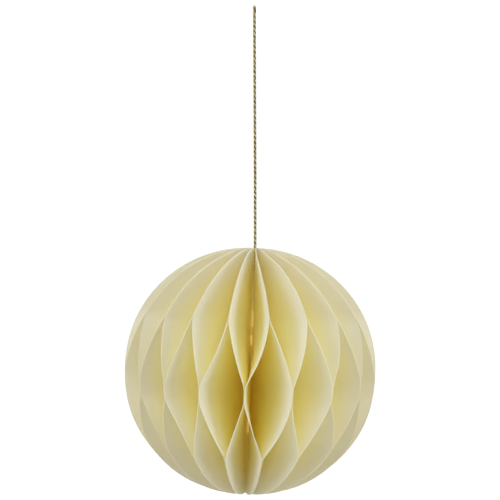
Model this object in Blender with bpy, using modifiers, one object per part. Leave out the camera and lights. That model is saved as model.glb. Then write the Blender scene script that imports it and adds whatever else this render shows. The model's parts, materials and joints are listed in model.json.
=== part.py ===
"""Paper honeycomb ball hanging on a gold cord.

Half-disc paper leaves stand round a hollow core like the pages of a book opened all
the way round. Each leaf is glued to one neighbour near the top and the bottom and to
the other one in the middle, so that the leaves spread into a honeycomb of cells. A
binding thread and the knot of the hanging cord sit in the core.

The origin is the top of the cord's loop, where the ball hangs. +Z is up, and the two
end leaves meet at the front, towards -Y. The ball hangs a little out of plumb.
"""

import math

import bmesh
import bpy
from mathutils import Vector

MM = 0.001

# Paper leaves
LEAF_COUNT = 38
LEAF_RADIUS = 48.6 * MM
PAPER = 0.18 * MM
LEAF_GAP = 0.05 * MM
TIP_RADIUS = 1.2 * MM

# Glue lines, as heights above the middle of the leaves' straight edge
UPPER_GLUE = 22.0 * MM
MIDDLE_GLUE = -4.8 * MM
MIDDLE_GLUE_HALF = 3.2 * MM
LOWER_GLUE = -28.3 * MM

# Hanging cord and the way the ball hangs from it
CORD_DIAMETER = 1.25 * MM
CORD_EXPOSED = 96.6 * MM
CORD_IN_CORE = 5.5 * MM
CORD_POINT_PITCH = 2.8 * MM
CORD_BEND = 8.0 * MM
BALL_LEAN = math.radians(2.3)

# Knot and binding thread in the core
KNOT_RADIUS = 1.1 * MM
KNOT_HEIGHT = 3.4 * MM
THREAD_DIAMETER = 0.4 * MM
THREAD_SWING = 0.8 * MM
STITCH_PITCH = 10.0 * MM
THREAD_POINTS_PER_STITCH = 8
TOUCH_GAP = 0.3 * MM

# Values that follow from the ones above
LEAF_STEP = 2 * math.pi / LEAF_COUNT
LEAF_SPREAD = math.tan(LEAF_STEP / 2)
CORE_RADIUS = (PAPER + LEAF_GAP) / (2 * math.sin(LEAF_STEP / 2))
SPINE_UP = Vector((math.sin(BALL_LEAN), 0, math.cos(BALL_LEAN)))
TOP_POLE = Vector((0, 0, -CORD_EXPOSED))
BALL_CENTRE = TOP_POLE - SPINE_UP * LEAF_RADIUS

PAPER_COLOUR = (0.80, 0.76, 0.57, 1)
GOLD_COLOUR = (0.72, 0.52, 0.20, 1)
THREAD_COLOUR = (0.78, 0.66, 0.38, 1)


def clear_scene():
    for old in list(bpy.data.objects):
        bpy.data.objects.remove(old, do_unlink=True)


def make_collection(name):
    collection = bpy.data.collections.new(name)
    bpy.context.scene.collection.children.link(collection)
    return collection


def make_material(name, colour, roughness, metallic):
    material = bpy.data.materials.new(name)
    material.use_nodes = True
    shader = material.node_tree.nodes["Principled BSDF"]
    shader.inputs["Base Color"].default_value = colour
    shader.inputs["Roughness"].default_value = roughness
    shader.inputs["Metallic"].default_value = metallic
    return material


def make_object(name, data, material, collection, parent=None):
    obj = bpy.data.objects.new(name, data)
    collection.objects.link(obj)
    if not data.materials:
        data.materials.append(material)
    obj.parent = parent
    return obj


# ---------------------------------------------------------------- paper leaves


def glue_side(height):
    """Which neighbour a leaf leans on at a height, from -1 to 1.

    It is 1 along the middle glue line and -1 from the outer ones to the tips, and the
    paper runs straight from one to the other.
    """
    stops = (
        (UPPER_GLUE, -1.0),
        (MIDDLE_GLUE + MIDDLE_GLUE_HALF, 1.0),
        (MIDDLE_GLUE - MIDDLE_GLUE_HALF, 1.0),
        (LOWER_GLUE, -1.0),
    )
    if height >= UPPER_GLUE or height <= LOWER_GLUE:
        return -1.0
    for (high, at_high), (low, at_low) in zip(stops, stops[1:]):
        if height >= low:
            share = (high - height) / (high - low)
            return at_high + (at_low - at_high) * share
    return -1.0


def tip_centre_height():
    """Height of the rounded tip's centre, where its arc touches both edges."""
    return math.sqrt((LEAF_RADIUS - TIP_RADIUS) ** 2 - TIP_RADIUS**2)


def leaf_edges(height):
    """Distances from the spine of a leaf's inner and outer edge at a height."""
    above = abs(height) - tip_centre_height()
    inner = CORE_RADIUS
    if above > 0:
        inner += TIP_RADIUS - math.sqrt(TIP_RADIUS**2 - above**2)
    outer = CORE_RADIUS + math.sqrt(LEAF_RADIUS**2 - height**2)
    return inner, outer


def leaf_rows():
    """Heights of the leaf's rows, evenly spaced along the arc between creases."""
    tip = tip_centre_height() + TIP_RADIUS * math.sin(math.radians(78))
    creases = (
        (-tip, 10),
        (LOWER_GLUE, 4),
        (MIDDLE_GLUE - MIDDLE_GLUE_HALF, 1),
        (MIDDLE_GLUE + MIDDLE_GLUE_HALF, 5),
        (UPPER_GLUE, 10),
        (tip, 0),
    )
    rows = []
    for (low, count), (high, _) in zip(creases, creases[1:]):
        start = math.asin(low / LEAF_RADIUS)
        stop = math.asin(high / LEAF_RADIUS)
        for n in range(count):
            angle = start + (stop - start) * n / count
            rows.append(LEAF_RADIUS * math.sin(angle))
    rows.append(tip)
    return rows


def make_leaf_mesh(name, side, material):
    """A leaf along local +X from the spine, creased to one side or the other."""
    rows = leaf_rows()
    last = len(rows) - 1
    bm = bmesh.new()
    bmesh.ops.create_grid(bm, x_segments=1, y_segments=last, size=1)
    for vert in bm.verts:
        height = rows[round((vert.co.y + 1) / 2 * last)]
        inner, outer = leaf_edges(height)
        reach = inner if vert.co.x < 0 else outer
        offset = side * (reach - CORE_RADIUS) * LEAF_SPREAD * glue_side(height)
        vert.co = (reach, offset, height)
    mesh = bpy.data.meshes.new(name)
    bm.to_mesh(mesh)
    bm.free()
    mesh.materials.append(material)
    return mesh


def add_leaves(collection, ball, material):
    meshes = {
        1: make_leaf_mesh("leaf_creased_left", -1, material),
        0: make_leaf_mesh("leaf_creased_right", 1, material),
    }
    for number in range(1, LEAF_COUNT + 1):
        leaf = make_object(
            f"leaf_{number:02d}", meshes[number % 2], material, collection, ball
        )
        from_front = (number - 0.5) * LEAF_STEP
        leaf.rotation_euler.z = from_front - math.pi / 2
        solidify = leaf.modifiers.new("paper", "SOLIDIFY")
        solidify.thickness = PAPER
        solidify.offset = 0


# ------------------------------------------------- cord, knot and binding thread


def make_tube(name, points, diameter, material, collection, parent=None):
    curve = bpy.data.curves.new(name, "CURVE")
    curve.dimensions = "3D"
    curve.bevel_depth = diameter / 2
    curve.bevel_resolution = 2
    curve.use_fill_caps = True
    spline = curve.splines.new("POLY")
    spline.points.add(len(points) - 1)
    for target, point in zip(spline.points, points):
        target.co = (*point, 1)
    return make_object(name, curve, material, collection, parent)


def cord_point(distance):
    """The cord's middle line, a distance down from the top of its loop.

    It hangs plumb and turns into the ball's leaning spine over a short bend.
    """
    past_bend = distance - (CORD_EXPOSED - CORD_BEND / 2)
    if past_bend <= 0:
        return Vector((0, 0, -distance))
    turned = min(past_bend / CORD_BEND, 1.0)
    sideways = math.tan(BALL_LEAN) * CORD_BEND * turned**2 / 2
    if past_bend > CORD_BEND:
        sideways += math.tan(BALL_LEAN) * (past_bend - CORD_BEND)
    return Vector((-sideways, 0, -distance))


def add_cord(collection, material):
    length = CORD_EXPOSED + CORD_IN_CORE
    spans = round(length / CORD_POINT_PITCH)
    points = [cord_point(length * n / spans) for n in range(spans + 1)]
    make_tube("hanging_cord", points, CORD_DIAMETER, material, collection)


def add_knot(collection, ball, material):
    bm = bmesh.new()
    bmesh.ops.create_uvsphere(bm, u_segments=16, v_segments=10, radius=1)
    stretch = Vector((KNOT_RADIUS, KNOT_RADIUS, KNOT_HEIGHT / 2))
    bmesh.ops.scale(bm, vec=stretch, verts=bm.verts)
    mesh = bpy.data.meshes.new("cord_knot")
    bm.to_mesh(mesh)
    bm.free()
    mesh.shade_smooth()
    knot = make_object("cord_knot", mesh, material, collection, ball)
    knot.location.z = LEAF_RADIUS - CORD_IN_CORE - TOUCH_GAP - KNOT_HEIGHT / 2


def add_thread(collection, ball, material):
    """A running stitch that goes to and fro across the core below the knot."""
    top = LEAF_RADIUS - CORD_IN_CORE - 2 * TOUCH_GAP - KNOT_HEIGHT - THREAD_DIAMETER
    stitches = math.floor((top + tip_centre_height()) / STITCH_PITCH)
    count = stitches * THREAD_POINTS_PER_STITCH
    points = []
    for n in range(count + 1):
        turns = n / THREAD_POINTS_PER_STITCH
        swing = THREAD_SWING * math.sin(2 * math.pi * turns)
        points.append(Vector((0, swing, top - turns * STITCH_PITCH)))
    make_tube("spine_thread", points, THREAD_DIAMETER, material, collection, ball)


def main():
    clear_scene()
    collection = make_collection("paper_honeycomb_ball")
    paper = make_material("cream_paper", PAPER_COLOUR, 0.85, 0.0)
    gold = make_material("gold_cord", GOLD_COLOUR, 0.35, 0.9)
    thread = make_material("binding_thread", THREAD_COLOUR, 0.7, 0.0)

    ball = bpy.data.objects.new("ball", None)
    ball.location = BALL_CENTRE
    ball.rotation_euler.y = BALL_LEAN
    collection.objects.link(ball)

    add_leaves(collection, ball, paper)
    add_cord(collection, gold)
    add_knot(collection, ball, gold)
    add_thread(collection, ball, thread)


main()
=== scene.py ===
"""Looks of the paper honeycomb ball that hangs on a gold cord.

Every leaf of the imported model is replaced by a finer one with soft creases, the plain
cord by one thin gold cord that is doubled and twisted with itself, its knot by a tied
one, and the binding thread by its stitches. The first and the last leaf turn towards each
other in front of the spine, and the stitches show there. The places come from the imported
model: the joint turn_on_cord gives the top pole, and the joint fold the spine's direction.

Metres are used throughout, except where a comment says mm. The ball's own frame has its
origin at the ball's centre, Z up the leaning spine and the seam at -Y.
"""

import json
import math
import random

import bmesh
import bpy
import numpy as np
from mathutils import Matrix, Vector


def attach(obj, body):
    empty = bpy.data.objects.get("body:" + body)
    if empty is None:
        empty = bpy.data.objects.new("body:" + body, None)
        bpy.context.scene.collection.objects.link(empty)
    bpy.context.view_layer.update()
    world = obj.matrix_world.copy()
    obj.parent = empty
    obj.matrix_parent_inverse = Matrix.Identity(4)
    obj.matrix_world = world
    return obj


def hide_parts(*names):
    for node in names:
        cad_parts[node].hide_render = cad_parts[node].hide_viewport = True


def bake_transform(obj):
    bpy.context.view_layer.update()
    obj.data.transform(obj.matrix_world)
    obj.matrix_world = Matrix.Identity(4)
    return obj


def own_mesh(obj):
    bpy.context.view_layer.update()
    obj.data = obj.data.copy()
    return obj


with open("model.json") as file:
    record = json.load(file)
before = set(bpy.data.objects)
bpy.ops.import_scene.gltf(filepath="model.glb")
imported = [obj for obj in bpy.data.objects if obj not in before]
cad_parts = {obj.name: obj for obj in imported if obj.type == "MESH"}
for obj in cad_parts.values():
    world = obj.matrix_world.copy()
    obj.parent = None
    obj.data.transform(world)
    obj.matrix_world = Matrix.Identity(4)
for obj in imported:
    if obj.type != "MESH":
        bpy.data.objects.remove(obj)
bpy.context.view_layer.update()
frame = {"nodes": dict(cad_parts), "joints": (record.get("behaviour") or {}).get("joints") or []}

MM = 0.001
DEGREE = math.pi / 180

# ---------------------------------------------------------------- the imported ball

JOINTS = {joint["name"]: joint for joint in frame["joints"]}
TOP_POLE = Vector(JOINTS["turn_on_cord"]["pos_m"])
SPINE_UP = Vector(JOINTS["fold"]["axis"]).normalized()
LEAVES = sorted(name for name in frame["nodes"] if name.startswith("leaf_"))
LEAF_COUNT = len(LEAVES)
LEAF_STEP = 2 * math.pi / LEAF_COUNT

# Repeated from the CAD source. The glue heights are measured from the ball's centre.
LEAF_RADIUS = 48.6 * MM
PAPER = 0.18 * MM
LEAF_GAP = 0.05 * MM
UPPER_GLUE = 22.0 * MM
MIDDLE_GLUE = -4.8 * MM
MIDDLE_GLUE_HALF = 3.2 * MM
LOWER_GLUE = -28.3 * MM
CORD_EXPOSED = 96.6 * MM
CORD_IN_CORE = 5.5 * MM
CORD_BEND = 8.0 * MM
KNOT_RADIUS = 1.1 * MM
KNOT_HEIGHT = 3.4 * MM
TOUCH_GAP = 0.3 * MM

CORE_RADIUS = (PAPER + LEAF_GAP) / (2 * math.sin(LEAF_STEP / 2))
BALL_CENTRE = TOP_POLE - SPINE_UP * LEAF_RADIUS
BALL_LEAN = math.atan2(SPINE_UP.x, SPINE_UP.z)
BALL_PLACE = Matrix.Translation(BALL_CENTRE) @ Matrix.Rotation(BALL_LEAN, 4, "Y")

# ---------------------------------------------------------------------- camera

CAMERA_DISTANCE = 491.0 * MM
CAMERA_ABOVE_BALL = 47.7 * MM
CAMERA_ASIDE = -0.1 * MM
CAMERA_TURN = 1.13 * DEGREE
# The lens and the sensor's width are in mm
CAMERA_LENS = 88.8
SENSOR_WIDTH = 36.0
CLIP = (0.01, 20.0)


def add_camera():
    """Level, in front of the seam and a little to its right, above the ball's centre."""
    data = bpy.data.cameras.new("camera")
    data.sensor_width = SENSOR_WIDTH
    data.lens = CAMERA_LENS
    data.clip_start, data.clip_end = CLIP
    camera = bpy.data.objects.new("camera", data)
    bpy.context.scene.collection.objects.link(camera)
    right = Vector((math.cos(CAMERA_TURN), math.sin(CAMERA_TURN), 0))
    back = Vector((math.sin(CAMERA_TURN), -math.cos(CAMERA_TURN), 0))
    place = BALL_CENTRE + back * CAMERA_DISTANCE + right * CAMERA_ASIDE
    place.z += CAMERA_ABOVE_BALL
    camera.location = place
    camera.rotation_euler = (math.pi / 2, 0, CAMERA_TURN)
    bpy.context.scene.camera = camera


# ------------------------------------------------------------------- mesh helpers


def new_mesh(name, points, faces, *materials):
    mesh = bpy.data.meshes.new(name)
    mesh.from_pydata([tuple(p) for p in points], [], faces)
    for material in materials:
        mesh.materials.append(material)
    mesh.validate()
    return mesh


def new_object(name, mesh, place=None):
    obj = bpy.data.objects.new(name, mesh)
    bpy.context.scene.collection.objects.link(obj)
    if place is not None:
        obj.matrix_world = place
    return obj


def spaced(line, step):
    """The line with stops about step apart, and how far along it each one is.

    A stop's first three numbers are its place, and any others are carried with it.
    """
    spans = np.linalg.norm(np.diff(line[:, :3], axis=0), axis=1)
    along = np.concatenate([[0], np.cumsum(spans)])
    at = np.linspace(0, along[-1], math.ceil(along[-1] / step) + 1)
    return np.stack([np.interp(at, along, column) for column in line.T], axis=1), at


def ahead_of(line):
    """The line's direction at each point."""
    ahead = np.gradient(line, axis=0)
    return ahead / np.linalg.norm(ahead, axis=1)[:, None]


def carried_frames(line):
    """Two directions across the line at each point, without any twist of their own."""
    ahead = ahead_of(line)
    start = np.cross(ahead[0], (0.0, 1.0, 0.0))
    across = [start / np.linalg.norm(start)]
    for direction in ahead[1:]:
        carried = across[-1] - direction * (across[-1] @ direction)
        across.append(carried / np.linalg.norm(carried))
    across = np.array(across)
    return across, np.cross(ahead, across)


def sweep(name, points, frames, ring_at, sides, material, closed=False):
    """A tube along the points. ring_at(angles, n) gives ring n's radii and groove depths.

    The attribute groove tells the material how deep in a groove each point lies, where it paints
    shade.
    """
    angles = np.arange(sides) * 2 * math.pi / sides
    rings = []
    grooves = []
    for n, (centre, a, b) in enumerate(zip(points, *frames)):
        radii, groove = ring_at(angles, n)
        way = np.cos(angles)[:, None] * a + np.sin(angles)[:, None] * b
        rings.append(centre + radii[:, None] * way)
        grooves.append(groove)
    faces = []
    count = len(points)
    for n in range(count if closed else count - 1):
        low, high = n * sides, (n + 1) % count * sides
        for k in range(sides):
            after = (k + 1) % sides
            faces.append((low + k, low + after, high + after, high + k))
    if not closed:
        faces.append(tuple(range(sides))[::-1])
        faces.append(tuple(range((count - 1) * sides, count * sides)))
    mesh = new_mesh(name, np.concatenate(rings), faces, material)
    mesh.shade_smooth()
    attribute = mesh.attributes.new("groove", "FLOAT", "POINT")
    attribute.data.foreach_set("value", np.concatenate(grooves).astype(np.float32))
    return mesh


def ply_lobes(angles, distance, plies, pitch):
    """1 on the back of a ply and 0 in the groove between two, round one ring."""
    return np.abs(np.cos(plies / 2 * (angles - 2 * math.pi * distance / pitch)))


def plied(radius, plies, pitch, depth, at):
    """Rings of a round cord laid up from plies, for sweep."""

    def ring(angles, n):
        lobe = ply_lobes(angles, at[n], plies, pitch)
        # The second value is how deep in a groove a point lies, for the painted shade there
        return radius * (1 - depth * (1 - lobe)), (1 - lobe) ** 2

    return ring


# ---------------------------------------------------------------- node helpers


class Nodes:
    """Short ways to add nodes to a material's or the world's tree."""

    def __init__(self, owner):
        owner.use_nodes = True
        self.tree = owner.node_tree
        self.tree.nodes.clear()

    def add(self, kind, inputs=(), **settings):
        node = self.tree.nodes.new("ShaderNode" + kind)
        for key, value in settings.items():
            setattr(node, key, value)
        for key, value in dict(inputs).items():
            self.fill(node.inputs[key], value)
        return node

    def fill(self, socket, value):
        if isinstance(value, bpy.types.NodeSocket):
            self.tree.links.new(value, socket)
        else:
            socket.default_value = value

    def math(self, operation, *values):
        return self.add("Math", dict(enumerate(values)), operation=operation).outputs[0]

    def map_range(self, value, low, high, to_low=0.0, to_high=1.0, smooth=False):
        node = self.add(
            "MapRange",
            {
                "Value": value,
                "From Min": low,
                "From Max": high,
                "To Min": to_low,
                "To Max": to_high,
            },
        )
        node.interpolation_type = "SMOOTHSTEP" if smooth else "LINEAR"
        return node.outputs["Result"]

    def mix_colour(self, factor, a, b, blend="MIX"):
        """The colour sockets of a Mix node are its inputs 6 and 7 and its output 2."""
        node = self.add("Mix", data_type="RGBA", blend_type=blend)
        for key, value in ((0, factor), (6, a), (7, b)):
            self.fill(node.inputs[key], value)
        return node.outputs[2]

    def noise(self, place, scale, detail=2.0, roughness=0.5):
        return self.add(
            "TexNoise",
            {"Vector": place, "Scale": scale, "Detail": detail, "Roughness": roughness},
        ).outputs["Fac"]

    def bump(self, height, strength, distance):
        node = self.add("Bump", {"Height": height, "Strength": strength, "Distance": distance})
        return node.outputs[0]

    def output(self, shader, kind="OutputMaterial"):
        self.add(kind, {"Surface": shader})


# ------------------------------------------------------------------- materials

# Scales are in details to a metre. Pairs are what a pattern's low and its high end give,
# except the ranges, which are those ends.
# Painted light: paler paper at the lit rim, deeper yellow inwards for light bounced between
# leaves
PAPER_RIM_PAINTED_LIGHT = (0.985, 0.962, 0.77, 1)
PAPER_DEEP_PAINTED_BOUNCE_LIGHT = (0.997, 0.968, 0.56, 1)
PAPER_EDGE_COLOUR = (0.955, 0.935, 0.72, 1)
PAPER_GLOW_COLOUR = (0.997, 0.95, 0.42, 1)
PAPER_GLOW = 0.16
PAPER_GLOW_SPREAD = 0.2
PAINTED_LIGHT_FADE_FROM = 1.5 * MM
PAINTED_LIGHT_FADE_TO = 15.0 * MM
CLOUD_SCALE = 70.0
CLOUD_TINT = (0.975, 1.005)
FORMATION_SCALE = 900.0
FORMATION_TINT = (0.98, 1.01)
FORMATION_ROUGHNESS = (0.72, 0.86)
GRAIN_SCALE = 5200.0
PATTERN_RANGE = (0.3, 0.7)
# Fibres that lie out from the spine, and others that slant across them: turn and scales
FIBRES = ((0.0, (500.0, 500.0, 3600.0)), (0.9, (3600.0, 500.0, 500.0)))
FIBRE_RANGE = (0.60, 0.74)
FIBRE_COLOUR = (0.95, 0.93, 0.80, 1)
FIBRE_SHARE = 0.16
SPECK_SCALE = 85.0
SPECK_RANGE = (0.020, 0.032)
SPECK_COLOUR = (0.42, 0.33, 0.17, 1)
SPECK_SHARE = 0.35
PAPER_SPECULAR = 0.18
PAPER_BUMP = 0.55
PAPER_BUMP_HEIGHT = 0.025 * MM
FORMATION_HEIGHT = 0.6
GRAIN_HEIGHT = 0.35
FIBRE_HEIGHT = 0.35
# How far apart in the patterns the leaves can lie, so that no two look the same
LEAF_SHIFT = 7.0

GOLD_DULL = (0.10, 0.07, 0.018, 1)
GOLD_BRIGHT = (0.97, 0.79, 0.33, 1)
# Painted shade in the grooves of the cord's plies and between its two runs
GOLD_PAINTED_SHADE = (0.012, 0.008, 0.003, 1)
GOLD_METALLIC = (0.95, 0.3)
GOLD_ROUGHNESS = (0.2, 0.36)
FLECK_SCALE = 3800.0
GOLD_GRAIN_SCALE = 9000.0
GOLD_BUMP = 0.7
GOLD_BUMP_HEIGHT = 0.03 * MM

THREAD_COLOURS = ((0.99, 0.84, 0.46, 1), (1.0, 0.93, 0.62, 1))
# Painted shade in the grooves of the thread's plies
THREAD_PAINTED_SHADE = (0.94, 0.70, 0.32, 1)
# A painted glow of emission, for the light through the paper behind the thread
THREAD_PAINTED_GLOW_COLOUR = (1.0, 0.70, 0.30, 1)
THREAD_PAINTED_GLOW = 0.2
HAIR_SCALE = 6000.0
THREAD_ROUGHNESS = 0.7
THREAD_BUMP = 0.5
THREAD_BUMP_HEIGHT = 0.02 * MM


def in_from_rim(n, place):
    """How far a point of a leaf lies in from the leaf's round rim."""
    parts = n.add("SeparateXYZ", {0: place})
    from_root = n.math("SUBTRACT", parts.outputs["X"], CORE_RADIUS)
    square = n.math("MULTIPLY", from_root, from_root)
    square = n.math("MULTIPLY_ADD", parts.outputs["Z"], parts.outputs["Z"], square)
    return n.math("SUBTRACT", LEAF_RADIUS, n.math("SQRT", square))


def fibre_lines(n, place):
    """1 on the paper's fibres and 0 between them."""
    lying = []
    for turn, scales in FIBRES:
        settings = {"Vector": place, "Rotation": (0, turn, 0), "Scale": scales}
        stretched = n.add("Mapping", settings).outputs[0]
        lying.append(n.noise(stretched, 1.0, detail=2.0, roughness=0.7))
    return n.map_range(n.math("MAXIMUM", *lying), *FIBRE_RANGE)


def paper_material(name, cut_edge):
    """Matt cream paper with a cloudy formation, short fibres and a few specks.

    Painted light: near the rim it is painted paler, as lit paper, and away from the rim
    it is painted a deeper yellow for the light that comes off and through other leaves.
    """
    material = bpy.data.materials.new(name)
    n = Nodes(material)
    place = n.add("TexCoord").outputs["Object"]
    shift = n.math("MULTIPLY", n.add("ObjectInfo").outputs["Random"], LEAF_SHIFT)
    moved = n.add("VectorMath", {0: place, 1: shift}, operation="ADD").outputs[0]
    clouds = n.noise(moved, CLOUD_SCALE, detail=3.0)
    formation = n.noise(moved, FORMATION_SCALE, detail=4.0, roughness=0.6)
    grain = n.noise(moved, GRAIN_SCALE, detail=2.0)
    fibres = fibre_lines(n, moved)

    if cut_edge:
        base = PAPER_EDGE_COLOUR
    else:
        # Painted light: paler at the rim, deeper yellow inwards for light bounced between leaves
        depth = n.map_range(in_from_rim(n, place), PAINTED_LIGHT_FADE_FROM, PAINTED_LIGHT_FADE_TO, smooth=True)
        base = n.mix_colour(depth, PAPER_RIM_PAINTED_LIGHT, PAPER_DEEP_PAINTED_BOUNCE_LIGHT)
    cloudy = n.map_range(clouds, *PATTERN_RANGE, *CLOUD_TINT)
    formed = n.map_range(formation, *PATTERN_RANGE, *FORMATION_TINT)
    cloudy = n.math("MULTIPLY", cloudy, formed)
    tint = n.add("CombineColor", {0: cloudy, 1: cloudy, 2: cloudy}).outputs[0]
    colour = n.mix_colour(1.0, base, tint, blend="MULTIPLY")
    colour = n.mix_colour(n.math("MULTIPLY", fibres, FIBRE_SHARE), colour, FIBRE_COLOUR)
    cells = n.add("TexVoronoi", {"Vector": moved, "Scale": SPECK_SCALE, "Randomness": 1.0})
    specks = n.map_range(cells.outputs["Distance"], *SPECK_RANGE, 1.0, 0.0)
    colour = n.mix_colour(n.math("MULTIPLY", specks, SPECK_SHARE), colour, SPECK_COLOUR)

    height = n.math("MULTIPLY", grain, GRAIN_HEIGHT)
    height = n.math("MULTIPLY_ADD", formation, FORMATION_HEIGHT, height)
    height = n.math("MULTIPLY_ADD", fibres, FIBRE_HEIGHT, height)
    bump = n.bump(height, PAPER_BUMP, PAPER_BUMP_HEIGHT)
    surface = n.add(
        "BsdfPrincipled",
        {
            "Base Color": colour,
            "Roughness": n.map_range(formation, *PATTERN_RANGE, *FORMATION_ROUGHNESS),
            "Normal": bump,
            "Specular IOR Level": PAPER_SPECULAR,
        },
    )
    glow = n.mix_colour(1.0, PAPER_GLOW_COLOUR, tint, blend="MULTIPLY")
    through = n.add("BsdfTranslucent", {"Color": glow, "Normal": bump})
    least, most = PAPER_GLOW * (1 - PAPER_GLOW_SPREAD), PAPER_GLOW * (1 + PAPER_GLOW_SPREAD)
    share = n.map_range(formation, *PATTERN_RANGE, least, most)
    mixed = n.add("MixShader", {0: share, 1: surface.outputs[0], 2: through.outputs[0]})
    n.output(mixed.outputs[0])
    return material


def gold_material():
    """Gold film, with near-black shade painted into the grooves of the plies and between the
    runs.
    """
    material = bpy.data.materials.new("gold_cord")
    n = Nodes(material)
    place = n.add("TexCoord").outputs["Object"]
    groove = n.add("Attribute", attribute_name="groove").outputs["Fac"]
    flecks = n.add("TexVoronoi", {"Vector": place, "Scale": FLECK_SCALE})
    tone = n.add("SeparateColor", {0: flecks.outputs["Color"]}).outputs[0]
    film = n.mix_colour(tone, GOLD_DULL, GOLD_BRIGHT)
    fine = n.noise(place, GOLD_GRAIN_SCALE, detail=2.0)
    # Painted shade: near black, and less metallic, in the grooves
    surface = n.add(
        "BsdfPrincipled",
        {
            "Base Color": n.mix_colour(groove, film, GOLD_PAINTED_SHADE),
            "Metallic": n.map_range(groove, 0.0, 1.0, *GOLD_METALLIC),
            "Roughness": n.map_range(tone, 0.0, 1.0, *GOLD_ROUGHNESS),
            "Normal": n.bump(n.math("ADD", tone, fine), GOLD_BUMP, GOLD_BUMP_HEIGHT),
        },
    )
    n.output(surface.outputs[0])
    return material


def thread_material():
    """Matt two-ply cotton thread, with painted groove shade and a painted glow for the light
    through the paper behind it.
    """
    material = bpy.data.materials.new("binding_thread")
    n = Nodes(material)
    place = n.add("TexCoord").outputs["Object"]
    groove = n.add("Attribute", attribute_name="groove").outputs["Fac"]
    hairs = n.noise(place, HAIR_SCALE, detail=3.0)
    cotton = n.mix_colour(hairs, *THREAD_COLOURS)
    # Painted shade in the grooves, and a painted glow of emission for light from behind
    surface = n.add(
        "BsdfPrincipled",
        {
            "Base Color": n.mix_colour(groove, cotton, THREAD_PAINTED_SHADE),
            "Roughness": THREAD_ROUGHNESS,
            "Normal": n.bump(hairs, THREAD_BUMP, THREAD_BUMP_HEIGHT),
            "Emission Color": THREAD_PAINTED_GLOW_COLOUR,
            "Emission Strength": THREAD_PAINTED_GLOW,
        },
    )
    n.output(surface.outputs[0])
    return material


# ------------------------------------------------------------------------ cord

ROPE_RADIUS = 0.68 * MM
RUN_ASIDE = 0.34 * MM
STRAND = 0.76 * MM
TWIST_PITCH = 4.0 * MM
PLY_PITCH = -1.6 * MM
PLIES = 3
EYE_HEIGHT = 2.3 * MM
EYE_RADIUS = 0.47 * MM
EYE_TURN = 42 * DEGREE
EYE_STOPS = 16
SIDE_STOPS = 13
STOP_STEP = 0.2 * MM
PRESSED_WITHIN = 0.22 * MM
TWIST_EASE = 1.6 * MM
SWAY = -0.27 * MM
SWAY_LENGTH = 68.0 * MM
RING_STEP = 0.14 * MM
CORD_SIDES = 16
# Shape of a run's cross-section: how near it comes to the plane between the runs, how
# sharp its corners are, how deep the grooves of its plies are and how much shade is painted
# into them. Then, as the cosine of the angle from the way out, where the painted shade between
# the runs begins.
RUN_FLAT = 0.96
RUN_CORNER = 6
PLY_DEPTH = 0.16
PLY_PAINTED_SHADE = 0.8
BETWEEN_RUNS_FROM = 0.72
BETWEEN_RUNS_OVER = 0.6


def cord_point(distance):
    """The doubled cord's middle line: nearly plumb, then turning into the leaning spine.

    The distance is measured down from the top of the loop.
    """
    sway = SWAY * max(0.0, 1 - distance / SWAY_LENGTH)
    past_bend = distance - (CORD_EXPOSED - CORD_BEND / 2)
    if past_bend <= 0:
        return Vector((sway, 0, -distance))
    turned = min(past_bend / CORD_BEND, 1.0)
    aside = math.tan(BALL_LEAN) * CORD_BEND * turned**2 / 2
    if past_bend > CORD_BEND:
        aside += math.tan(BALL_LEAN) * (past_bend - CORD_BEND)
    return Vector((-aside, 0, -distance))


def sideways(angle):
    """A level direction, turned from +X towards +Y."""
    return Vector((math.cos(angle), math.sin(angle), 0))


def strand_route():
    """The thin cord's way from the knot up one side, round the eye and down again.

    Each stop is its place, the way out from the rope's or the eye's middle, and how far
    the strand is pressed flat against its other run, from 0 to 1.
    """
    down = []
    below_eye = CORD_EXPOSED + CORD_IN_CORE - EYE_HEIGHT
    for n in range(round(below_eye / STOP_STEP) + 1):
        below = n * STOP_STEP
        if below < TWIST_EASE:
            turned = below**2 / (2 * TWIST_EASE)
        else:
            turned = below - TWIST_EASE / 2
        way = sideways(EYE_TURN + 2 * math.pi * turned / TWIST_PITCH)
        down.append((cord_point(EYE_HEIGHT + below), way, RUN_ASIDE, 1))

    shoulder = EYE_RADIUS + STRAND / 2
    eye = sideways(EYE_TURN)
    side = []
    for n in range(1, SIDE_STOPS):
        share = n / SIDE_STOPS
        eased = share * share * (3 - 2 * share)
        out = RUN_ASIDE + (EYE_RADIUS - RUN_ASIDE) * eased
        pressed = max(0.0, 1 - (out - RUN_ASIDE) / PRESSED_WITHIN)
        middle = cord_point(EYE_HEIGHT + (shoulder - EYE_HEIGHT) * share)
        side.append((middle, eye, out, pressed))

    stops = []
    for middle, way, out, pressed in down[::-1] + side:
        stops.append((middle + way * out, way, pressed))
    for n in range(EYE_STOPS + 1):
        angle = math.pi * n / EYE_STOPS
        way = eye * math.cos(angle) + Vector((0, 0, math.sin(angle)))
        stops.append((cord_point(shoulder) + way * EYE_RADIUS, way, 0))
    for middle, way, out, pressed in side[::-1] + down:
        stops.append((middle - way * out, -way, pressed))
    return np.array([(*place, *way, pressed) for place, way, pressed in stops])


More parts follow.
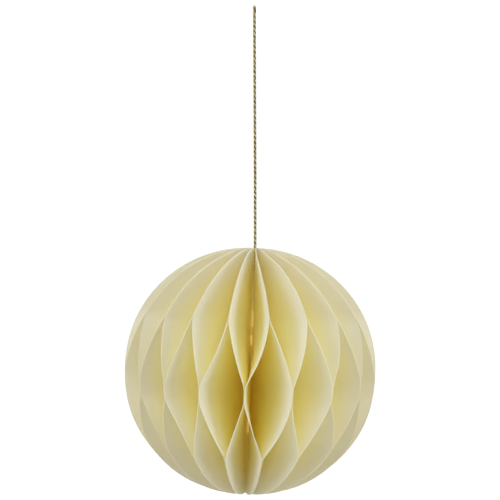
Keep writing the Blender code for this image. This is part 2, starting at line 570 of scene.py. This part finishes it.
def strand_ring(angles, distance, pressed):
    """Radii of one ring of the laid strand, and how deep in a groove each point lies.

    Where it is pressed, the strand fills its half of the rope's round: out to the rope's
    skin on one side, and to the plane between the two runs on the other.
    """
    lobe = ply_lobes(angles, distance, PLIES, PLY_PITCH)
    outward = np.cos(angles)
    across = RUN_ASIDE * np.sin(angles)
    to_skin = np.sqrt(ROPE_RADIUS**2 - across**2) - RUN_ASIDE * outward
    inward = np.clip(-outward, 1e-6, None)
    to_other_run = np.where(outward < 0, RUN_FLAT * RUN_ASIDE / inward, 1.0)
    half_round = (to_skin**-RUN_CORNER + to_other_run**-RUN_CORNER) ** (-1 / RUN_CORNER)
    radii = pressed * half_round + (1 - pressed) * STRAND / 2
    radii = radii * (1 - PLY_DEPTH * (1 - lobe))
    # Painted shade: in the grooves of the plies and, where the runs are pressed, near the plane
    # between them
    between_runs = np.clip((BETWEEN_RUNS_FROM - outward) / BETWEEN_RUNS_OVER, 0, 1)
    groove = np.maximum((1 - lobe) ** 1.5 * PLY_PAINTED_SHADE, between_runs * pressed)
    return radii, groove


def add_cord(gold):
    """One strand, doubled and twisted with itself, and its middle line."""
    route, at = spaced(strand_route(), RING_STEP)
    points, out, pressed = route[:, :3], route[:, 3:6], route[:, 6]
    ahead = ahead_of(points)
    out = out - ahead * (out * ahead).sum(1)[:, None]
    out /= np.linalg.norm(out, axis=1)[:, None]
    mesh = sweep(
        "gold_cord",
        points,
        (out, np.cross(ahead, out)),
        lambda angles, n: strand_ring(angles, at[n], pressed[n]),
        CORD_SIDES,
        gold,
    )
    cord = new_object("gold_cord", mesh)
    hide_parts("hanging_cord")
    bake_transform(cord)
    return cord, (points, at)


KNOT_RINGS = 160
KNOT_SIDES = 12
KNOT_DEPTH = 0.62
KNOT_PLY_DEPTH = 0.2


def add_knot(gold):
    """An overhand knot, drawn tight, with its turns in the plane of the leaning spine."""
    turn = np.linspace(0, 2 * math.pi, KNOT_RINGS, endpoint=False)
    flat = KNOT_RADIUS - STRAND / 2
    tall = KNOT_HEIGHT / 2 - STRAND / 2
    x = (np.sin(turn) + 2 * np.sin(2 * turn)) / 3
    z = (np.cos(turn) - 2 * np.cos(2 * turn)) / 3
    y = -np.sin(3 * turn)
    line = np.stack([x * flat, y * flat * KNOT_DEPTH, z * tall], axis=1)
    spans = np.linalg.norm(np.roll(line, -1, axis=0) - line, axis=1)
    at = np.concatenate([[0], np.cumsum(spans)[:-1]])
    pitch = spans.sum() / round(spans.sum() / PLY_PITCH)
    ring = plied(STRAND / 2, PLIES, pitch, KNOT_PLY_DEPTH, at)
    frames = carried_frames(line)
    mesh = sweep("gold_knot", line, frames, ring, KNOT_SIDES, gold, closed=True)
    height = LEAF_RADIUS - CORD_IN_CORE - TOUCH_GAP - KNOT_HEIGHT / 2
    knot = new_object("gold_knot", mesh, BALL_PLACE @ Matrix.Translation((0, 0, height)))
    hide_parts("cord_knot")
    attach(knot, "core")
    return knot


# ---------------------------------------------------------------------- thread

THREAD = 0.42 * MM
THREAD_PLIES = 2
THREAD_PLY_PITCH = 0.9 * MM
THREAD_PLY_DEPTH = 0.3
THREAD_RING_STEP = 0.12 * MM
THREAD_SIDES = 10
THREAD_SWING = 0.75 * MM
STITCH_ASIDE = 0.12 * MM
# The rest in millimetres. Stitches that show: top, bottom and how far out of the spine.
FRONT_STITCHES = ((23.3, 17.6, 5.2), (13.8, 10.4, 5.4), (-18.2, -23.8, 5.3))
STITCH_SLOPE = 0.6
STITCH_BOW = 0.25
SWING_GONE = 1.2
ASIDE_FULL = 2.0
THREAD_TOP = 34.0
THREAD_BOTTOM = -36.0
THREAD_STOP = 0.25
SWING_PITCH = 8.2


def thread_route():
    """Down the core in a wave, and out in front of the spine for each stitch that shows."""
    out = []
    for high, low, reach in FRONT_STITCHES:
        out += [(high + STITCH_SLOPE, 0.0), (high, reach - STITCH_BOW)]
        out += [((high + low) / 2, reach)]
        out += [(low, reach - STITCH_BOW), (low - STITCH_SLOPE, 0.0)]
    heights, reaches = zip(*out[::-1])
    line = []
    for height in np.arange(THREAD_TOP, THREAD_BOTTOM, -THREAD_STOP):
        front = float(np.interp(height, heights, reaches, left=0, right=0))
        swing = THREAD_SWING * math.sin(2 * math.pi * height / SWING_PITCH)
        aside = swing * (1 - min(1.0, front / SWING_GONE))
        aside += STITCH_ASIDE * min(1.0, front / ASIDE_FULL)
        line.append((aside, -front * MM, height * MM))
    return np.array(line)


def add_thread(material):
    line, at = spaced(thread_route(), THREAD_RING_STEP)
    ring = plied(THREAD / 2, THREAD_PLIES, THREAD_PLY_PITCH, THREAD_PLY_DEPTH, at)
    frames = carried_frames(line)
    mesh = sweep("binding_stitches", line, frames, ring, THREAD_SIDES, material)
    thread = new_object("binding_stitches", mesh, BALL_PLACE)
    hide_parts("spine_thread")
    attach(thread, "core")
    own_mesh(thread)


# ---------------------------------------------------------------------- leaves

LEAF_ROWS = 132
LEAF_COLUMNS = 9
COLUMN_CROWDING = 0.8
LEAN_STEPS = 2401
LEAN_PAST_TIPS = 1.2
CREASE_AT_RIM = 1.6 * MM
CREASE_AT_ROOT = 7.0 * MM
SOFT_TIP = 0.7 * MM
TIP_END = 84 * DEGREE
# Heights of a leaf's three top stops and depth of its lowest one, to its radius
TOP_STOPS = (0.967, 0.86, 0.68)
BOTTOM_STOP = 0.86
SEAM_CURL = 0.95 * MM
CURL_COLUMNS = 4
# By height, all in mm: how far in front of the spine the two leaves of the seam meet, and
# how far the edge of each stays off the seam's plane there
SEAM_ROOT = ((-30, 3.0), (-14, 4.3))
SEAM_AJAR = ((30, 0.004), (34, 0.10), (46, 0.15))
GLUE_DRAW = 11
BELLY_DRAW = 5
# Spread of the uneven places that are drawn at random, in mm
UNEVEN_SHIFT = 0.8
UNEVEN_LIFT = 0.6
UNEVEN_BELLY = 0.5

# How far the glue points near the front sit from their even places, in mm, along the
# rim towards +X and upwards. The joint of leaves n and n + 1 is number n, and negative
# numbers count back from the seam, which is joint 0.
UPPER_SHIFTS = {
    -7: (1.6, -0.5), -5: (1.5, -0.8), -3: (0.0, 0.0), -1: (-0.6, -0.2),
    1: (-0.4, 0.3), 3: (-0.5, 0.4), 5: (-0.9, 0.9), 7: (-1.2, 0.2),
}
MIDDLE_SHIFTS = {
    -6: (2.0, -0.7), -4: (0.0, -0.7), -2: (-1.3, -0.2), 0: (-1.0, 0.0),
    2: (0.1, 0.1), 4: (0.4, 0.5), 6: (0.2, 1.5),
}
LOWER_SHIFTS = {
    -5: (1.1, -0.3), -3: (0.0, -0.9), -1: (-0.7, -0.8),
    1: (-0.4, -0.5), 3: (0.2, 0.8), 5: (1.3, 2.2),
}
# The closed pairs crowd towards the front near the top pole: their shifts at the three
# top stops.
TOP_SHIFTS = {
    -9: (1.6, 1.8, 1.2), -7: (2.5, 3.0, 2.6), -5: (2.9, 3.6, 2.8), -3: (1.8, 2.2, 1.5),
    -1: (0.2, 0.2, -0.1), 1: (-1.7, -2.1, -1.3), 3: (-3.2, -2.7, -1.6),
    5: (-4.2, -4.8, -3.1), 7: (-3.0, -3.5, -2.6), 9: (-2.0, -2.4, -1.6),
}
BOTTOM_SHIFTS = {-3: 0.3, -1: -0.4, 1: -0.2, 3: -0.4}
# Sideways belly of a free span, in mm towards +X, for leaves whose own span shows one.
UPPER_BELLIES = {1: 1.3, 2: 0.6, 3: 0.5}
LOWER_BELLIES = {2: 1.6}


def glue_points():
    """Shift and lift of every joint's glue points, drawn at random where none is set."""
    draw = random.Random(GLUE_DRAW)
    found = []
    for joint in range(LEAF_COUNT):
        near = joint if joint < LEAF_COUNT / 2 else joint - LEAF_COUNT
        free = [draw.gauss(0, 1) for _ in range(8)]
        upper = UPPER_SHIFTS.get(near, (free[0] * UNEVEN_SHIFT, free[1] * UNEVEN_LIFT))
        middle = MIDDLE_SHIFTS.get(near, (free[2] * UNEVEN_SHIFT, free[3] * UNEVEN_LIFT))
        lower = LOWER_SHIFTS.get(near, (free[4] * UNEVEN_SHIFT, free[5] * UNEVEN_LIFT))
        drawn = free[6] * UNEVEN_SHIFT
        top = TOP_SHIFTS.get(near, (drawn / 2, drawn, drawn))
        bottom = BOTTOM_SHIFTS.get(near, free[7] * UNEVEN_SHIFT)
        found.append(
            {"upper": upper, "middle": middle, "lower": lower, "top": top, "bottom": bottom}
        )
    return found


def lean_stops(number, joints):
    """A leaf's glue points from top to bottom: height, and angle from the leaf's plane."""
    even, odd = (number, number - 1) if number % 2 == 0 else (number - 1, number)
    own = (number - 0.5) * LEAF_STEP

    def stop(joint, height, shift):
        half_width = math.sqrt(LEAF_RADIUS**2 - height**2)
        return height, joint * LEAF_STEP - own + shift * MM / half_width

    closed = joints[odd % LEAF_COUNT]
    crossed = joints[even % LEAF_COUNT]
    middle = MIDDLE_GLUE + crossed["middle"][1] * MM
    upper = UPPER_GLUE + closed["upper"][1] * MM
    lower = LOWER_GLUE + closed["lower"][1] * MM
    tops = [
        stop(odd, LEAF_RADIUS * share, shift)
        for share, shift in zip(TOP_STOPS, closed["top"])
    ]
    return tops + [
        stop(odd, upper, closed["upper"][0]),
        stop(even, middle + MIDDLE_GLUE_HALF, crossed["middle"][0]),
        stop(even, middle - MIDDLE_GLUE_HALF, crossed["middle"][0]),
        stop(odd, lower, closed["lower"][0]),
        stop(odd, -LEAF_RADIUS * BOTTOM_STOP, closed["bottom"]),
    ]


def running_lean(number, joints, draw):
    """Heights, and the running sum of a leaf's lean up to each of them.

    The mean lean between two heights follows from it, which is how creases are softened.
    """
    stops = lean_stops(number, joints)
    span = LEAF_RADIUS * LEAN_PAST_TIPS
    heights = np.linspace(-span, span, LEAN_STEPS)
    stop_heights, angles = zip(*stops[::-1])
    lean = np.interp(heights, stop_heights, angles)
    bellies = (
        (4, UPPER_BELLIES.get(number, draw.gauss(0, 1) * UNEVEN_BELLY)),
        (6, LOWER_BELLIES.get(number, draw.gauss(0, 1) * UNEVEN_BELLY)),
    )
    for stop, belly in bellies:
        high, low = stops[stop - 1][0], stops[stop][0]
        share = np.clip((heights - low) / (high - low), 0, 1)
        lean += np.sin(math.pi * share) * belly * MM / LEAF_RADIUS
    steps = (lean[1:] + lean[:-1]) / 2 * np.diff(heights)
    return heights, np.concatenate([[0], np.cumsum(steps)])


def leaf_borders():
    """Heights of a leaf's rows, and how far out each row begins and ends."""
    tip_centre = math.sqrt((LEAF_RADIUS - SOFT_TIP) ** 2 - SOFT_TIP**2)
    tip = math.asin((tip_centre + SOFT_TIP * math.sin(TIP_END)) / LEAF_RADIUS)
    z = LEAF_RADIUS * np.sin(np.linspace(-tip, tip, LEAF_ROWS))
    above = np.clip(np.abs(z) - tip_centre, 0, None)
    inner = CORE_RADIUS + SOFT_TIP - np.sqrt(SOFT_TIP**2 - above**2)
    outer = CORE_RADIUS + np.sqrt(LEAF_RADIUS**2 - z**2)
    return z, inner, outer


def by_height(table, z):
    """A table's values at the heights z. The table itself is in mm."""
    return np.interp(z / MM, *zip(*table)) * MM


def leaf_surface(number, joints, draw):
    """Points of a leaf's middle surface in its own place, as rows by columns by 3.

    A crease is sharp at the rim and soft at the root, as in bent paper. The offset is the
    leaf's own way off its plane.
    """
    heights, running = running_lean(number, joints, draw)
    z, inner, outer = leaf_borders()
    to_seam = {1: -1, LEAF_COUNT: 1}.get(number)
    if to_seam:
        inner = np.minimum(by_height(SEAM_ROOT, z) + SEAM_CURL, (inner + outer) / 2)

    columns = []
    for n in range(LEAF_COLUMNS):
        share = (n / (LEAF_COLUMNS - 1)) ** COLUMN_CROWDING
        reach = inner + (outer - inner) * share
        half = CREASE_AT_ROOT + (CREASE_AT_RIM - CREASE_AT_ROOT) * share
        high = np.interp(z + half, heights, running)
        low = np.interp(z - half, heights, running)
        offset = (reach - CORE_RADIUS) * np.tan((high - low) / (2 * half))
        columns.append(np.stack([reach, offset, z], axis=1))
    if to_seam:
        columns = seam_curl(columns[0], z, to_seam) + columns
    return np.stack(columns, axis=1)


def seam_curl(edge, z, to_seam):
    """Columns that turn the first or the last leaf's root towards the seam's plane."""
    root = edge[:, 0] - SEAM_CURL
    meet = to_seam * (root * math.tan(LEAF_STEP / 2) - by_height(SEAM_AJAR, z))
    curl = []
    for n in range(CURL_COLUMNS):
        turned = math.pi / 2 * n / CURL_COLUMNS
        reach = edge[:, 0] - SEAM_CURL * math.cos(turned)
        offset = meet + (edge[:, 1] - meet) * math.sin(turned)
        curl.append(np.stack([reach, offset, z], axis=1))
    return curl


def leaf_mesh(name, surface, paper, cut_edge):
    """The middle surface as a sheet of paper's thickness, with sharp edges."""
    along = np.gradient(surface, axis=0)
    across = np.gradient(surface, axis=1)
    normal = np.cross(across, along)
    normal /= np.linalg.norm(normal, axis=2)[:, :, None]
    normal *= -np.sign(normal[:, -1:, 1:2])
    front = surface + normal * PAPER / 2
    back = surface - normal * PAPER / 2
    rows, columns = surface.shape[:2]
    points = np.concatenate([front.reshape(-1, 3), back.reshape(-1, 3)])
    behind = rows * columns

    def at(row, column):
        return row * columns + column

    faces = []
    for row in range(rows - 1):
        for column in range(columns - 1):
            a, b = at(row, column), at(row, column + 1)
            c, d = at(row + 1, column + 1), at(row + 1, column)
            faces.append((a, b, c, d))
            faces.append((a + behind, d + behind, c + behind, b + behind))
    sides = len(faces)
    border = [at(row, columns - 1) for row in range(rows)]
    border += [at(rows - 1, column) for column in range(columns - 2, -1, -1)]
    border += [at(row, 0) for row in range(rows - 2, -1, -1)]
    border += [at(0, column) for column in range(1, columns - 1)]
    for a, b in zip(border, border[1:] + border[:1]):
        faces.append((b, a, a + behind, b + behind))

    mesh = new_mesh(name, points, faces, paper, cut_edge)
    mesh.shade_smooth()
    # The border begins with the outer rim, the only part of it that shows as a cut edge
    slots = np.zeros(len(faces), np.int32)
    slots[sides : sides + rows - 1] = 1
    mesh.polygons.foreach_set("material_index", slots)
    bm = bmesh.new()
    bm.from_mesh(mesh)
    for edge in bm.edges:
        if len({face.index < sides for face in edge.link_faces}) > 1:
            edge.smooth = False
    bm.to_mesh(mesh)
    bm.free()
    return mesh


def add_leaf(number, node, joints, draw, paper, cut_edge):
    name = f"paper_{node}"
    mesh = leaf_mesh(name, leaf_surface(number, joints, draw), paper, cut_edge)
    own = (number - 0.5) * LEAF_STEP
    place = BALL_PLACE @ Matrix.Rotation(own - math.pi / 2, 4, "Z")
    leaf = new_object(name, mesh, place)
    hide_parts(node)
    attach(leaf, node)
    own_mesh(leaf)


def add_leaves():
    paper = paper_material("cream_paper", False)
    cut_edge = paper_material("cream_paper_cut_edge", True)
    joints = glue_points()
    draw = random.Random(BELLY_DRAW)
    for number, node in enumerate(LEAVES, start=1):
        add_leaf(number, node, joints, draw, paper, cut_edge)


# ---------------------------------------------------------------------- studio

SKY_TOP = 0.10
SKY_SIDE = 0.13
SKY_BELOW = 0.45
# Name, azimuth from the camera's side towards +X and elevation in degrees, width, height
# and power in watts
SOFTBOXES = (
    ("softbox_left", -57, 3, 0.8, 0.6, 2.55),
    ("softbox_right", 66, 3, 0.9, 0.6, 4.0),
    ("softbox_top_front", 0, 55, 0.7, 0.6, 2.4),
    ("softbox_top_left", -63, 42, 0.5, 0.6, 1.5),
    ("softbox_top_right", 63, 42, 0.5, 0.6, 0.8),
    ("softbox_back_left", -150, 20, 0.8, 0.8, 2.0),
    ("softbox_back_right", 150, 20, 0.8, 0.8, 2.0),
)
SOFTBOX_DISTANCE = 1.0
WHITE_STRENGTH = 1.2
BACKDROP_RADIUS = 3.0
FLOOR_RADIUS = 1.2
FLOOR_SIDES = 96
FLOOR_HEIGHT = -0.6
# Points of the tone curve between black and white, close to 2 x / (1 + x)
CURVE = (
    (0.05, 0.095), (0.1, 0.182), (0.2, 0.333), (0.35, 0.519), (0.5, 0.667), (0.75, 0.857),
)
COMBINED_CURVE = 3
# Light goes through many leaves and off many more before it comes out of a deep cell
MAX_BOUNCES = 80
PAPER_BOUNCES = 64


def grey(value):
    return value, value, value, 1


def add_backing(name, shape, material, place=None, **settings):
    """A mesh that the camera sees, while light passes it."""
    bm = bmesh.new()
    shape(bm, **settings)
    mesh = bpy.data.meshes.new(name)
    bm.to_mesh(mesh)
    bm.free()
    mesh.materials.append(material)
    obj = new_object(name, mesh, place)
    for ray in ("diffuse", "glossy", "transmission", "volume_scatter", "shadow"):
        setattr(obj, f"visible_{ray}", False)
    return obj


def add_studio():
    world = bpy.data.worlds.new("studio")
    bpy.context.scene.world = world
    n = Nodes(world)
    up = n.add("SeparateXYZ", {0: n.add("TexCoord").outputs["Generated"]}).outputs["Z"]
    ramp = n.add("ValToRGB", {0: n.map_range(up, -1.0, 1.0)})
    stops = ramp.color_ramp.elements
    stops[0].position, stops[0].color = 0.0, grey(SKY_BELOW)
    stops[1].position, stops[1].color = 1.0, grey(SKY_TOP)
    stops.new(0.5).color = grey(SKY_SIDE)
    background = n.add("Background", {"Color": ramp.outputs[0], "Strength": 1.0})
    n.output(background.outputs[0], kind="OutputWorld")

    white = bpy.data.materials.new("studio_white")
    n = Nodes(white)
    shine = n.add("Emission", {"Color": grey(1), "Strength": WHITE_STRENGTH})
    n.output(shine.outputs[0])
    backdrop = add_backing(
        "backdrop",
        bmesh.ops.create_icosphere,
        white,
        subdivisions=4,
        radius=BACKDROP_RADIUS,
    )
    floor = add_backing(
        "floor",
        bmesh.ops.create_circle,
        white,
        Matrix.Translation((0, 0, FLOOR_HEIGHT)),
        cap_ends=True,
        segments=FLOOR_SIDES,
        radius=FLOOR_RADIUS,
    )

    for box in SOFTBOXES:
        add_softbox(*box)


def add_softbox(name, azimuth, elevation, width, height, power):
    """An area light, aimed at the ball's centre."""
    data = bpy.data.lights.new(name, "AREA")
    data.shape = "RECTANGLE"
    data.size = width
    data.size_y = height
    data.energy = power
    light = bpy.data.objects.new(name, data)
    bpy.context.scene.collection.objects.link(light)
    turn, rise = math.radians(azimuth), math.radians(elevation)
    way = Vector(
        (math.sin(turn) * math.cos(rise), -math.cos(turn) * math.cos(rise), math.sin(rise))
    )
    light.location = BALL_CENTRE + way * SOFTBOX_DISTANCE
    light.rotation_euler = (-way).to_track_quat("-Z", "Y").to_euler()
    light.visible_camera = False


def set_picture():
    """Colour management with the photo's softer bright tones, and the light's bounces."""
    scene = bpy.context.scene
    scene.view_settings.view_transform = "Standard"
    scene.view_settings.look = "None"
    scene.view_settings.use_curve_mapping = True
    mapping = scene.view_settings.curve_mapping
    for x, y in CURVE:
        mapping.curves[COMBINED_CURVE].points.new(x, y)
    mapping.update()
    scene.cycles.max_bounces = MAX_BOUNCES
    scene.cycles.diffuse_bounces = PAPER_BOUNCES
    scene.cycles.transmission_bounces = PAPER_BOUNCES


add_camera()
gold = gold_material()
cord, cord_line = add_cord(gold)
add_knot(gold)
add_thread(thread_material())
add_leaves()
add_studio()
set_picture()
